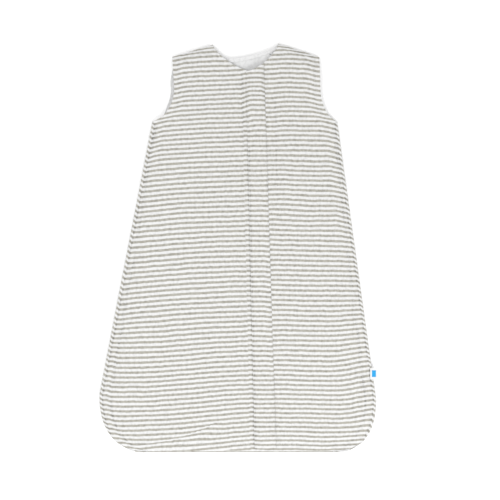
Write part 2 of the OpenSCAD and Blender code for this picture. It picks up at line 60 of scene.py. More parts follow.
HEM_Y, TOP_Y, HALF_W = -370.0, 370.0, 251.0
NECK_L, NECK_R = (-46.0, 368.0), (73.0, 370.0)
TIP_L, TIP_R = (-119.0, 346.0), (147.0, 346.0)
UNDERARM_L, UNDERARM_R = (-155.0, 230.0), (179.5, 230.0)
HIP_L, HIP_R = (-HALF_W, -265.0), (HALF_W - 1, -272.0)
HEM_L_X, HEM_R_X = -160.0, 168.0
ARMHOLE_H, ARMHOLE_L_X, ARMHOLE_R_X = 56.0, -115.0, 149.0
FRONT_NECK_X, BACK_NECK_X = 20.0, -22.0
FRONT_NECK_DROP, BACK_NECK_DROP = 50.0, 28.0
ZIP_TOP, ZIP_TILT, ZIP_OPENING = (34.5, 311.0), math.radians(1.3), 606.0
PANEL_EDGE_V, FLAP_SEAM_V, FLAP_END_U = 6.5, 19.5, 674.0
FOLD_L_END_V, FOLD_R_END_V = -20.0, 7.1
SEAM_Z, FRONT_TOP, SEAM_TOP = 6.0, 12.65, 9.0
SEAM_SLOPE, SHOULDER_SLOPE = 36.0, 24.0
OUTER_T, LINING_T, LINING_DROP = 1.1, 0.8, 1.8
STRIPE_PITCH = 9.06
STRIPE_SHIFT = -4.0         # where the stripes fall on the cut cloth
PLACKET_STEP = 1.0          # the stripes sit this much higher between the placket's stitching and the flap


def mix(a, b, t):
    return a + (b - a) * t


def ramp(x, a, b):
    """0 below a, 1 above b, smooth between."""
    t = np.clip((np.asarray(x, float) - a) / (b - a), 0, 1)
    return t * t * (3 - 2 * t)


def bump(x, centre, width):
    return np.exp(-(((np.asarray(x, float) - centre) / width) ** 2))


def reach(d, w, h, n):
    """Half-width of a superellipse quarter of width w and height h, at height d from its centre."""
    r = np.clip(np.asarray(d, float) / h, 0, 1)
    return w * np.maximum(0, 1 - r**n) ** (1 / n)


def side_x(y, neck, tip, armhole_x, underarm, hip, hem_x, hem_n, turn):
    y = np.asarray(y, float)
    curve_top = underarm[1] + ARMHOLE_H
    shoulder = mix(tip[0], neck[0], (y - tip[1]) / (neck[1] - tip[1]))
    upper = mix(armhole_x, tip[0], (y - curve_top) / (tip[1] - curve_top))
    curve = underarm[0] - turn * reach(curve_top - y, abs(underarm[0] - armhole_x), ARMHOLE_H, 1.8)
    side = mix(hip[0], underarm[0], (y - hip[1]) / (underarm[1] - hip[1]))
    corner = hem_x + turn * reach(hip[1] - y, abs(hip[0] - hem_x), hip[1] - HEM_Y, hem_n)
    above = [y > tip[1], y > curve_top, y > underarm[1], y > hip[1]]
    return np.select(above, [shoulder, upper, curve, side], corner)


def left_x(y):
    return side_x(y, NECK_L, TIP_L, ARMHOLE_L_X, UNDERARM_L, HIP_L, HEM_L_X, 2.4, -1)


def right_x(y):
    return side_x(y, NECK_R, TIP_R, ARMHOLE_R_X, UNDERARM_R, HIP_R, HEM_R_X, 2.5, 1)


def on_zip(u, v):
    """A point u down the zip and v to its right."""
    s, c = math.sin(ZIP_TILT), math.cos(ZIP_TILT)
    return ZIP_TOP[0] + u * s + v * c, ZIP_TOP[1] - u * c + v * s


def to_zip(x, y):
    s, c = math.sin(ZIP_TILT), math.cos(ZIP_TILT)
    dx, dy = x - ZIP_TOP[0], y - ZIP_TOP[1]
    return dx * s - dy * c, dx * c + dy * s


def zip_x(y, v):
    u = (ZIP_TOP[1] - y + v * math.sin(ZIP_TILT)) / math.cos(ZIP_TILT)
    return on_zip(u, v)[0]


FOLD_L_END = on_zip(ZIP_OPENING, FOLD_L_END_V)
FOLD_R_END = on_zip(ZIP_OPENING, FOLD_R_END_V)


def fold_x(y, neck, end):
    return mix(end[0], neck[0], (y - end[1]) / (neck[1] - end[1]))


NECK_POWER_L, NECK_POWER_R, BACK_NECK_BEND = 1.38, 1.4, 1.25      # how pointed the necklines are


def front_neck_y(x):
    left = NECK_L[1] - reach(FRONT_NECK_X - x, FRONT_NECK_DROP - 2, FRONT_NECK_X - NECK_L[0], NECK_POWER_L)
    right = NECK_R[1] - reach(x - FRONT_NECK_X, FRONT_NECK_DROP, NECK_R[0] - FRONT_NECK_X, NECK_POWER_R)
    return np.where(x < FRONT_NECK_X, left, right)


def back_neck_y(x):
    w = np.where(x < BACK_NECK_X, BACK_NECK_X - NECK_L[0], NECK_R[0] - BACK_NECK_X)
    return TOP_Y - reach(np.abs(x - BACK_NECK_X), BACK_NECK_DROP, w, 2 / BACK_NECK_BEND)


def shoulder_y(x):
    left = mix(TIP_L[1], NECK_L[1], (x - TIP_L[0]) / (NECK_L[0] - TIP_L[0]))
    right = mix(TIP_R[1], NECK_R[1], (x - TIP_R[0]) / (NECK_R[0] - TIP_R[0]))
    return np.where(x < 0, left, right)


def front_top_y(x):
    return np.where((x > NECK_L[0]) & (x < NECK_R[0]), front_neck_y(x), shoulder_y(x))


def back_top_y(x):
    return np.where((x > NECK_L[0]) & (x < NECK_R[0]), back_neck_y(x), shoulder_y(x))


def path_distance(x, y, path):
    """Distance from each point to a path of points."""
    best = np.full(x.shape, 1e9)
    for (ax, ay), (bx, by) in zip(path[:-1], path[1:]):
        dx, dy = bx - ax, by - ay
        t = np.clip(((x - ax) * dx + (y - ay) * dy) / (dx * dx + dy * dy + 1e-12), 0, 1)
        best = np.minimum(best, (x - ax - t * dx) ** 2 + (y - ay - t * dy) ** 2)
    return np.sqrt(best)


corner_ys = HEM_Y + 105 * (1 - np.cos(np.linspace(0, math.pi / 2, 26)))
side_ys = np.concatenate([corner_ys, np.linspace(-255, UNDERARM_L[1], 30)])
SEWN_EDGE = [(float(left_x(y)), y) for y in side_ys[::-1]] + [(float(right_x(y)), y) for y in side_ys]


def shoulder_distance(x, y, a, b):
    dx, dy = b[0] - a[0], b[1] - a[1]
    return np.abs((x - a[0]) * dy - (y - a[1]) * dx) / math.hypot(dx, dy)


def perlin(x, y, size, seed):
    """Smooth noise from -1 to 1 with features about size wide."""
    flat = [noise.noise((a / size, b / size, seed)) for a, b in zip(np.ravel(x), np.ravel(y))]
    return np.reshape(flat, np.shape(x)) * 1.6


# Long soft folds down the front: distance from the zip, upper and lower end down it, and height.
LONG_CREASES = ((48, 180, 520, -0.4), (84, 300, 600, -0.45), (-72, 60, 200, -0.3), (-190, 340, 600, -0.45))


def crinkle(x, y, edge):
    """Height of the cloth's wrinkles."""
    u, v = to_zip(x, y)
    wide = 0.75 * perlin(x, y, 120, 3.1) + 0.45 * perlin(x, y * 1.4, 55, 7.7)
    fine = 0.2 * perlin(x, y, 17, 1.3) + 0.22 * perlin(x, y / 4, 11, 5.9) + 0.1 * perlin(x, y / 2, 6.5, 2.9)
    wobble = perlin(x, y, 40, 9.2)
    side_pucker = 0.4 * np.sin(2 * math.pi * y / 13 + 4 * wobble) * np.exp(-edge / 13) * ramp(edge, 1, 7)
    seam_pucker = 0.28 * np.sin(2 * math.pi * u / 10.5 + 3 * wobble) * bump(v, -FLAP_SEAM_V - 7, 8)
    slant = v - 0.11 * u
    crease = -0.5 * bump(slant, 22, 1.6) * ramp(u, 5, 30) * (1 - ramp(u, 200, 320))
    crease = crease - 0.3 * bump(slant, 31, 1.5) * ramp(u, 30, 90) * (1 - ramp(u, 150, 260))
    crease = crease + sum(
        depth * bump(v - at - 0.04 * u, 0, 2.6) * ramp(u, top, top + 60) * (1 - ramp(u, low - 60, low))
        for at, top, low, depth in LONG_CREASES)
    across, along = hem_crease(x, y)
    crease = crease - 0.9 * bump(across, 0.6, 1.6) * along + 0.7 * bump(across, -4, 4) * along
    arm = 0.5 * np.sin(0.21 * (x + y) + 2 * wobble) * bump(np.hypot(x - UNDERARM_L[0] - 30, y - 215), 0, 45)
    arm_r = 0.5 * np.sin(0.21 * (x - y) + 2 * wobble) * bump(np.hypot(x - UNDERARM_R[0] + 30, y - 215), 0, 45)
    return (wide + fine) * ramp(edge, 0, 26) + side_pucker + seam_pucker + crease + arm + arm_r


BACK_NECK_Z = 5.0     # the back's neckline is held up by the shoulder seams


def heights(x, y):
    """(front's outer surface, back's outer surface) at each point."""
    edge = path_distance(x, y, SEWN_EDGE)
    shoulders = np.minimum(shoulder_distance(x, y, TIP_L, NECK_L), shoulder_distance(x, y, TIP_R, NECK_R))
    full = ramp(edge, 0, SEAM_SLOPE) * ramp(shoulders, 0, SHOULDER_SLOPE)
    roll = np.sqrt(1 - (1 - np.clip(edge / 8.0, 0, 1)) ** 2)
    roll = roll * np.sqrt(1 - (1 - np.clip((shoulders + 0.3) / 5.0, 0, 1)) ** 2)
    top = mix(SEAM_TOP, FRONT_TOP, full) + crinkle(x, y, np.minimum(edge, shoulders))
    neck = ramp(y, 285, 335) * (1 - ramp(np.abs(x - 15), 55, 95))
    low = mix(3.6, BACK_NECK_Z * neck, full)
    return mix(SEAM_Z, top, roll), mix(SEAM_Z, low, roll)


def stripe_lift(x, y):
    """How far the stripes lie above a level line, from the way the cloth was cut and laid."""
    u, v = to_zip(x, y)
    a = np.abs(v)
    from_left, from_right = x - left_x(y), right_x(y) - x
    left = 3.2 - 12.3 * (np.minimum(a, 260) / 227) ** 1.9
    low_left = 4.7 - 13.5 * ramp(a, 10, 240) + ramp(-y, 200, 260)
    left = mix(left, low_left, ramp(-y, 100, 200))
    left = left + 2.4 * (1 - ramp(from_left, 12, 21)) * ramp(-y, 160, 210)
    left = left - 3.5 * (1 - ramp(from_left, 0, 28)) * ramp(y, 100, 170)
    right = 5.3 - 2.0 * ramp(a, 20, 120) + ramp(y, 150, 210) * (2.9 * ramp(a, 15, 60) - 1.2)
    right = right + 9 * ramp(-from_right, -70, 2) * ramp(-y, 60, 220) * (1 - 0.7 * ramp(-y, 290, 335))
    right = right - 5.0 * ramp(-from_right, -30, 0) * ramp(y, -60, 60) - 1.4 * bump(y, 155, 22)
    lift = np.where(v < 0, left, right)
    lift = lift + (zip_bulge(u, v) + PLACKET_STEP * ramp(v, -28.2, -26.8)) * (v < 0.1 - FLAP_SEAM_V)
    lift = lift - 0.055 * np.maximum(0, y - 165)
    lift = lift + 0.00036 * np.maximum(0, -185 - y) ** 2 * (0.55 + 0.45 * ramp(v, -150, 0))
    across, along = hem_crease(x, y)
    lift = lift + 3.2 * ramp(-across, -0.8, 1.2) * (1 - ramp(-across, 8, 30)) * along
    return lift + 0.55 * perlin(x, y, 45, 12.5) + 0.3 * perlin(x, y / 3, 15, 6.6) + STRIPE_SHIFT


def hem_crease(x, y):
    """Height above a diagonal fold in the front, near the hem, and how deep the fold is there."""
    along = (x + 171) / 140
    line = -356 + 46 * along - 8 * np.sin(math.pi * np.clip(along, 0, 1))
    return y - line, ramp(along, -0.05, 0.15) * (1 - ramp(along, 0.8, 1.1))


def zip_bulge(u, v):
    """Rise of the stripes where the cloth climbs over the closed slider and its pull."""
    crease = mix(-28, -17, ramp(u, 40, 130))
    return 5.1 * bump(u, 48, 46) * ramp(v, crease, crease + 15) * (1 - 0.6 * ramp(v, 5, 12) * bump(u, 12, 22))


# ---- Meshes -------------------------------------------------------------------------------------


def obj_from(name, verts, faces, material, fab=None, smooth=True):
    """A mesh object from vertices in mm. fab is each vertex's place on the uncut cloth, and its press, which
    the muslin paints as shade.
    """
    data = bpy.data.meshes.new(name)
    data.from_pydata((np.asarray(verts) * MM).tolist(), [], faces)
    if fab is not None:
        a = data.attributes.new("cloth", "FLOAT_VECTOR", "POINT")
        a.data.foreach_set("vector", (np.asarray(fab) * [MM, MM, 1]).astype(np.float32).ravel())
    data.materials.append(material)
    data.polygons.foreach_set("use_smooth", [smooth] * len(data.polygons))
    data.update()
    o = bpy.data.objects.new(name, data)
    bpy.context.scene.collection.objects.link(o)
    return o


def grid_normals(p):
    du, dv = np.gradient(p, axis=0), np.gradient(p, axis=1)
    n = np.cross(dv, du)
    return n / np.maximum(np.linalg.norm(n, axis=2, keepdims=True), 1e-9)


def cloth(name, p, t, material, fab, closed_ends=(True, True), flip=False):
    """A sheet t thick from a grid of points on its outer face.

    Its edges have their own vertices, so they stay crisp.
    """
    m, n = p.shape[:2]
    normal = grid_normals(p) * (-1 if flip else 1)
    inner = np.maximum(p - normal * t, [-1e9, HEM_Y, 0])
    index = np.arange(m * n).reshape(m, n)
    a, b, c, d = index[:-1, :-1], index[:-1, 1:], index[1:, 1:], index[1:, :-1]
    quads = np.stack([a, b, c, d], -1).reshape(-1, 4)
    if flip:
        quads = quads[:, ::-1]
    verts = [p.reshape(-1, 3), inner.reshape(-1, 3)]
    faces = [quads, quads[:, ::-1] + m * n]
    coords = [fab.reshape(-1, 3)] * 2
    loop = [index[:, 0][::-1], index[:, -1]]
    if closed_ends[0]:
        loop.append(index[0, :])
    if closed_ends[1]:
        loop.append(index[-1, :][::-1])
    base = 2 * m * n
    for k, edge in enumerate(loop):
        verts += [p.reshape(-1, 3)[edge], inner.reshape(-1, 3)[edge]]
        coords += [fab.reshape(-1, 3)[edge]] * 2
        i = np.arange(len(edge) - 1)
        wall = np.stack([base + i, base + i + 1, base + len(edge) + i + 1, base + len(edge) + i], -1)
        faces.append(wall if flip else wall[:, ::-1])
        base += 2 * len(edge)
    faces = np.concatenate([np.asarray(f).reshape(-1, 4) for f in faces])
    return obj_from(name, np.concatenate(verts), faces.tolist(), material, np.concatenate(coords))


def panel_grid(columns, ys, top_ys, top_y, split_y):
    """Points over a panel. columns(y) gives each column's x; above split_y the rows bend to meet top_y(x)."""
    rows = [(columns(y), np.full(len(columns(y)), y)) for y in ys]
    for t in top_ys:
        y = np.full(len(rows[0][0]), split_y)
        for _ in range(12):
            x = np.array([columns(v)[k] for k, v in enumerate(y)])
            y = mix(split_y, top_y(x), t)
        rows.append((x, y))
    return np.array([r[0] for r in rows]), np.array([r[1] for r in rows])


# ---- Materials ------------------------------------------------------------------------------------


class Nodes:
    """Short names for building a node material."""

    def __init__(self, name, rough, sheen=0.0, metal=0.0, spec=0.5, coat=0.0):
        self.material = bpy.data.materials.new(name)
        self.material.use_nodes = True
        self.tree = self.material.node_tree
        self.shader = self.tree.nodes["Principled BSDF"]
        self.shader.inputs["Roughness"].default_value = rough
        self.shader.inputs["Sheen Weight"].default_value = sheen
        self.shader.inputs["Sheen Roughness"].default_value = 0.5
        self.shader.inputs["Metallic"].default_value = metal
        self.shader.inputs["Specular IOR Level"].default_value = spec
        self.shader.inputs["Coat Weight"].default_value = coat

    def node(self, kind, **values):
        n = self.tree.nodes.new("ShaderNode" + kind)
        for key, value in values.items():
            if key in n.inputs:
                n.inputs[key].default_value = value
            else:
                setattr(n, key, value)
        return n

    def link(self, a, b):
        self.tree.links.new(a, b)

    def math(self, operation, a, b=0.0, c=0.0):
        n = self.node("Math", operation=operation)
        for socket, value in zip(n.inputs, (a, b, c)):
            if isinstance(value, (int, float)):
                socket.default_value = value
            else:
                self.link(value, socket)
        return n.outputs[0]

    def mix(self, factor, a, b):
        n = self.node("Mix", data_type="RGBA")
        for socket, value in ((n.inputs[0], factor), (n.inputs[6], a), (n.inputs[7], b)):
            if isinstance(value, (tuple, list)):
                socket.default_value = (*value, 1)
            elif isinstance(value, (int, float)):
                socket.default_value = value
            else:
                self.link(value, socket)
        return n.outputs[2]

    def scaled(self, vector, x, y, z=1.0):
        n = self.node("Mapping")
        n.inputs["Scale"].default_value = (x, y, z)
        self.link(vector, n.inputs["Vector"])
        return n.outputs[0]

    def noise(self, vector, scale, detail=2.0, rough=0.5):
        n = self.node("TexNoise", Scale=scale, Detail=detail, Roughness=rough)
        self.link(vector, n.inputs["Vector"])
        return n.outputs["Fac"]

    def range(self, value, a, b, lo=0.0, hi=1.0, smooth=True):
        n = self.node("MapRange", interpolation_type="SMOOTHSTEP" if smooth else "LINEAR")
        for key, v in (("From Min", a), ("From Max", b), ("To Min", lo), ("To Max", hi)):
            n.inputs[key].default_value = v
        self.link(value, n.inputs["Value"])
        return n.outputs["Result"]

    def bumps(self, heights_and_depths):
        last = None
        for height, strength, depth in heights_and_depths:
            n = self.node("Bump", Strength=strength, Distance=depth)
            self.link(height, n.inputs["Height"])
            if last:
                self.link(last, n.inputs["Normal"])
            last = n.outputs[0]
        self.link(last, self.shader.inputs["Normal"])

    def colour(self, value):
        if isinstance(value, (tuple, list)):
            self.shader.inputs["Base Color"].default_value = (*value, 1)
        else:
            self.link(value, self.shader.inputs["Base Color"])

    def dim(self, colour, factor):
        n = self.node("VectorMath", operation="SCALE")
        self.link(colour, n.inputs[0])
        self.link(factor, n.inputs["Scale"])
        return n.outputs[0]

    def cloth_place(self):
        n = self.node("Attribute", attribute_name="cloth")
        return n.outputs["Vector"]

    def place(self):
        return self.node("TexCoord").outputs["Object"]


WHITE = (0.685, 0.685, 0.685)
# painted shade: SHADE_WHITE and the darker taupe two lines down are copies of the white and the taupe,
# darkened for the crinkles' hollows
SHADE_WHITE = (0.615, 0.615, 0.613)
TAUPE = (0.36, 0.344, 0.296)
SHADED_TAUPE = (0.262, 0.25, 0.212)
PRESS_SHADE_ON_WHITE, PRESS_SHADE_ON_DYE = 0.07, 0.6     # painted shade: how much darker white and dyed cloth are painted along a pressed line


def muslin(name, striped):
    """Crinkled cotton muslin; striped cloth has grey-taupe stripes across it, woven in, with soft edges."""
    k = Nodes(name, rough=0.92, sheen=0.2, spec=0.25)
    at = k.cloth_place()
    pucker = k.noise(k.scaled(at, 200, 120), 1.0, 3.0, 0.55)
    warp = k.noise(k.scaled(at, 105, 30), 1.0, 2.0, 0.5)
    small = k.noise(k.scaled(at, 620, 760), 1.0, 2.0, 0.5)
    slub = k.noise(k.scaled(at, 90, 1500), 1.0, 2.0, 0.6)
    waves = k.node("TexWave", wave_type="BANDS", bands_direction="X", Scale=1.0)
    k.link(k.scaled(at, 420, 420), waves.inputs["Vector"])
    weft = k.node("TexWave", wave_type="BANDS", bands_direction="Y", Scale=1.0)
    k.link(k.scaled(at, 420, 420), weft.inputs["Vector"])
    weave = k.math("MAXIMUM", waves.outputs["Fac"], weft.outputs["Fac"])
    # painted shade: the cloth is painted darker in the hollows of its puckers
    hollow_shade = k.range(pucker, 0.34, 0.6)
    split = k.node("SeparateXYZ")
    k.link(at, split.inputs[0])
    white = k.mix(hollow_shade, SHADE_WHITE, WHITE)
    # painted shade: the white is painted darker along pressed lines
    white = k.dim(white, k.math("SUBTRACT", 1.0, k.math("MULTIPLY", split.outputs["Z"], PRESS_SHADE_ON_WHITE)))
    if striped:
        jitter = k.math("MULTIPLY", k.math("SUBTRACT", slub, 0.5), 0.16)
        ripple = k.math("MULTIPLY", k.math("SUBTRACT", small, 0.5), 0.10)
        turn = k.math("MULTIPLY", split.outputs["Y"], 1000 / STRIPE_PITCH)
        wave = k.math("MULTIPLY", k.math("SUBTRACT", warp, 0.5), 0.15)
        phase = k.math("ADD", k.math("ADD", turn, 100.0), k.math("ADD", k.math("ADD", jitter, wave), ripple))
        phase = k.math("FRACT", phase)
        off = k.math("ABSOLUTE", k.math("SUBTRACT", phase, 0.5))
        band = k.range(off, 0.195, 0.285, 1.0, 0.0)
        thin = k.math("MULTIPLY", band, k.range(slub, 0.25, 0.62, 0.72, 1.0))
        # painted shade: small dark specks on the stripes, standing in for the shade of the crinkles
        shade_speck = k.range(k.noise(k.scaled(at, 520, 420), 1.0, 1.0), 0.66, 0.76)
        # the stripes' dye, with painted shade in the puckers' hollows
        dye_and_shade = k.mix(k.range(pucker, 0.3, 0.62), SHADED_TAUPE, TAUPE)
        dye_and_shade = k.mix(k.math("MULTIPLY", shade_speck, 0.6), dye_and_shade, SHADED_TAUPE)
        # painted shade: the stripes are painted darker along pressed lines
        dye_and_shade = k.dim(dye_and_shade, k.math("SUBTRACT", 1.0, k.math("MULTIPLY", split.outputs["Z"], PRESS_SHADE_ON_DYE)))
        k.colour(k.mix(thin, white, dye_and_shade))
    else:
        k.colour(white)
    k.bumps([(warp, 0.25, 0.002), (pucker, 0.4, 0.0014), (small, 0.3, 0.0005), (weave, 0.12, 0.0002)])
    return k.material


def plain_cloth(name, colour, shade, weave_size=0.6, rough=0.85, sheen=0.2):
    k = Nodes(name, rough=rough, sheen=sheen, spec=0.3)
    at = k.place()
    per_m = 1000 / weave_size
    a = k.node("TexWave", wave_type="BANDS", bands_direction="X", Scale=0.5)
    k.link(k.scaled(at, per_m, per_m), a.inputs["Vector"])
    b = k.node("TexWave", wave_type="BANDS", bands_direction="Y", Scale=0.5)
    k.link(k.scaled(at, per_m, per_m), b.inputs["Vector"])
    weave = k.math("MAXIMUM", a.outputs["Fac"], b.outputs["Fac"])
    cloud = k.noise(at, 160, 3.0)
    k.colour(k.mix(k.range(cloud, 0.3, 0.7), shade, colour))
    k.bumps([(cloud, 0.2, 0.0006), (weave, 0.2, 0.0002)])
    return k.material


def thread_look(name):
    k = Nodes(name, rough=0.6, sheen=0.1, spec=0.4)
    twist = k.node("TexWave", wave_type="BANDS", bands_direction="DIAGONAL", Scale=900.0)
    k.link(k.place(), twist.inputs["Vector"])
    # painted shade: the thread is painted darker in the grooves of its twist, where its bump is low
    k.colour(k.mix(twist.outputs["Fac"], (0.62, 0.61, 0.59), (0.76, 0.75, 0.73)))
    k.bumps([(twist.outputs["Fac"], 0.3, 0.0001)])
    return k.material


def plastic_look(name):
    k = Nodes(name, rough=0.34, spec=0.5, coat=0.15)
    cloud = k.noise(k.place(), 900, 2.0)
    k.colour(k.mix(cloud, (0.64, 0.64, 0.63), (0.72, 0.72, 0.71)))
    k.bumps([(cloud, 0.06, 0.0001)])
    return k.material


def metal_look(name):
    k = Nodes(name, rough=0.3, metal=1.0)
    brushed = k.noise(k.scaled(k.place(), 400, 4000, 400), 1.0, 3.0)
    worn = k.noise(k.place(), 700, 3.0)
    k.colour(k.mix(k.range(worn, 0.3, 0.7), (0.52, 0.52, 0.53), (0.70, 0.70, 0.71)))
    k.link(k.range(brushed, 0.2, 0.8, 0.22, 0.42), k.shader.inputs["Roughness"])
    k.bumps([(brushed, 0.08, 0.0001)])
    return k.material


STRIPED = muslin("striped_muslin_look", True)
LINING = muslin("white_lining_look", False)
THREAD = thread_look("thread_look")
TAPE = plain_cloth("zip_tape_look", (0.66, 0.66, 0.655), (0.60, 0.60, 0.595), 0.7)
TEETH = plastic_look("zip_teeth_look")
METAL = metal_look("slider_metal_look")
RIBBON = plain_cloth("label_ribbon_look", (0.74, 0.74, 0.735), (0.67, 0.67, 0.665), 0.35, 0.5, 0.3)
BLUE = plain_cloth("label_mark_look", (0.012, 0.33, 0.68), (0.01, 0.27, 0.60), 0.4, 0.55, 0.2)

# ---- Pieces by the joints: their transforms are baked into their meshes ------------------------------

STRIP_U = (596.0, 516.0)    # two distances down the zip; the flap is split into its upper part and its foot at the second


def across_fold(o):
    """Bakes o's transform into its mesh."""
    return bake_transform(o)


def with_left(o):
    return across_fold(o)


def with_right(o):
    return across_fold(o)


def along_zip(o):
    """Bakes o's transform into its mesh."""
    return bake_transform(o)


# ---- Fabric panels --------------------------------------------------------------------------------------

SPLIT_Y = 262.0
HEM_SHOW = 2.6              # the back's cloth shows this much below the front's hem
HEM_STEPS = np.array([0.02, 0.3, 0.8, 1.6, 2.8, 4.4, 6.4, 9, 12, 15.5])
BODY_ROWS = np.concatenate([HEM_Y + HEM_STEPS, np.linspace(HEM_Y + 19, UNDERARM_L[1] - 1, 150)])
BODY_ROWS = np.concatenate([BODY_ROWS, UNDERARM_L[1] + np.array([0.4, 1.5, 3.5, 6.5, 10, 14, 19, 25])])
TOP_ROWS = np.linspace(0, 1, 27)
EDGE_STEPS = np.array([0, 0.3, 0.9, 1.8, 3.0, 4.6, 6.6, 9.0, 12.0])
BACK_SHOW = 7.0             # how far the back reaches past the front at the left armhole


def wrap_left(y):
    """How far the back's cloth comes round onto the front at the left side."""
    return 5.8 * (1 - ramp(-y, 325, 345)) * (1 - ramp(y, UNDERARM_L[1] - 6, UNDERARM_L[1] + 1))


def wrap_right(y):
    return 5.4 * (1 - ramp(-y, 335, 355)) * (1 - ramp(y, UNDERARM_R[1] - 6, UNDERARM_R[1] + 1))


def front_left_columns(y):
    x0 = float(left_x(y)) + wrap_left(y)
    x2 = zip_x(y, -FLAP_SEAM_V)
    x1 = min(fold_x(y, NECK_L, FOLD_L_END), x2 - 0.4)
    near = x0 + EDGE_STEPS * min(1, (x1 - x0) / 40)
    far = np.linspace(near[-1], x1, 76)[1:]
    return np.concatenate([near, far, np.linspace(x1, x2, 22)[1:]])


def front_right_columns(y):
    x0 = zip_x(y, PANEL_EDGE_V)
    x1 = max(fold_x(y, NECK_R, FOLD_R_END), x0 + 0.4)
    x2 = float(right_x(y)) - wrap_right(y)
    near = x2 - EDGE_STEPS * min(1, (x2 - x1) / 40)
    far = np.linspace(x1, near[-1], 68)[1:]
    return np.concatenate([np.linspace(x0, x1, 14), far, near[::-1][1:]])


def placket_columns(y):
    return np.linspace(zip_x(y, -FLAP_SEAM_V), zip_x(y, -PANEL_EDGE_V), 6)


def end_columns(y):
    return np.linspace(zip_x(y, 0.1 - PANEL_EDGE_V), zip_x(y, PANEL_EDGE_V - 0.1), 6)


ARM_INSET = 10.5      # from the armhole's edge to its topstitching


def side_inset(y):
    """The side seams' topstitching runs further from the edge towards the hem."""
    return mix(20, 8, (y - HIP_L[1]) / (UNDERARM_L[1] - HIP_L[1]))


def pressed(x, y):
    """1 on a line of stitching that presses the layers together, 0 away from it; the cloth is dented there
    and painted with shade.
    """
    u, v = to_zip(x, y)
    low = 1 - ramp(y, UNDERARM_L[1] - 8, UNDERARM_L[1] - 2)
    high = ramp(y, UNDERARM_L[1] + 4, UNDERARM_L[1] + 10)
    left, right = x - left_x(y), right_x(y) - x
    lines = [
        (left - side_inset(y), 1.3, low), (right - side_inset(y), 1.3, low),
        (left - ARM_INSET, 1.3, high), (right - ARM_INSET, 1.3, high),
        (v + FLAP_SEAM_V + 8, 1.2, ramp(u, -6, 0) * (1 - 0.8 * ramp(u, 70, 140)) * (1 - ramp(u, 330, 460))),
        (v + FLAP_SEAM_V, 1.4, 0.45 + 0.55 * ramp(u, 70, 140)),
        (left - wrap_left(y), 1.5, low), (right - wrap_right(y), 1.2, low),
        (y - HEM_Y - 15, 1.3, 0.5),
        (v - 32, 1.5, 0.5 * ramp(u, 10, 50) * (1 - ramp(u, 200, 330))),
    ]
    total = 0
    for distance, width, share in lines:
        total = np.maximum(total, bump(distance, 0, width) * share)
    broken = 0.75 + 0.35 * perlin(x, y, 6.5, 4.4)
    return np.clip(total * broken, 0, 1)


def fabric_place(x, y, press=None):
    """Where each point lies on the uncut cloth, and how firmly it is pressed, which sets the painted shade
    along pressed lines.
    """
    return np.stack([x, y - stripe_lift(x, y), np.zeros_like(x) if press is None else press], -1)


def front_part(name, columns, ys=BODY_ROWS, top=True):
    x, y = panel_grid(columns, ys, TOP_ROWS if top else [], front_top_y, SPLIT_Y)
    lower = HEM_SHOW * (1 + 0.5 * perlin(x, y * 0, 42, 8.1))
    y = y + lower * (1 - ramp(y, HEM_Y, HEM_Y + 30))
    surface, _ = heights(x, y)
    _, v = to_zip(x, y)
    surface = surface + 0.9 * ramp(v, -24.5, 0.2 - FLAP_SEAM_V) * (1 - ramp(v, 0.6 - FLAP_SEAM_V, -17))
    # press dents the cloth along its stitching here, and through fab it sets the painted shade there
    press = pressed(x, y)
    p = np.stack([x, y, surface - 0.6 * press], -1)
    fab = fabric_place(x, y, press)
    outer = cloth(f"{name}_cloth", p, OUTER_T, STRIPED, fab)
    inner = p - [0, 0, LINING_DROP]
    lining = cloth(f"{name}_lining_cloth", inner, LINING_T, LINING, fab)
    return outer, lining


def back_left_x(y):
    show = BACK_SHOW * ramp(y, UNDERARM_L[1], UNDERARM_L[1] + 30) * ramp(-y, 10 - TIP_L[1], 50 - TIP_L[1])
    return float(left_x(y)) - float(show)


def back_columns(y):
    x0, x1 = back_left_x(y), float(right_x(y))
    steps = EDGE_STEPS
    middle = np.linspace(x0 + steps[-1], x1 - steps[-1], 84)[1:-1]
    return np.concatenate([x0 + steps, middle, (x1 - steps)[::-1]])


def side_wrap(x, y, low, side):
    """Columns where the back's cloth comes round a side onto the front, and their place on the cloth."""
    part = np.array([0.04, 0.11, 0.22, 0.37, 0.55, 0.75, 0.9, 1.0])[None, :]
    column = 0 if side < 0 else -1
    edge_x, edge_y, edge_z = (a[:, column][:, None] for a in (x, y, low))
    width = (wrap_left if side < 0 else wrap_right)(y[:, column])[:, None]
    wx, wy = edge_x - side * width * part, np.repeat(edge_y, part.size, 1)
    surface, _ = heights(wx, wy)
    surface = surface - 0.7 * bump(width * (1 - part), 0, 1.6)
    wz = mix(np.repeat(edge_z, part.size, 1), surface - 0.1, ramp(width, 0.2, 1.0))
    seam_lift = stripe_lift(edge_x - side * width, edge_y)
    outward = width * (1 - part)
    lift = seam_lift - 0.75 * side * outward + 0.4 * perlin(wx, wy, 9, 3.3)
    # The third value is painted shade in the groove at the wrap's inner edge, where the surface also dips.
    return np.stack([wx, wy, wz], -1), np.stack([wx, wy - lift, 0.6 * bump(width * (1 - part), 0, 1.4)], -1)


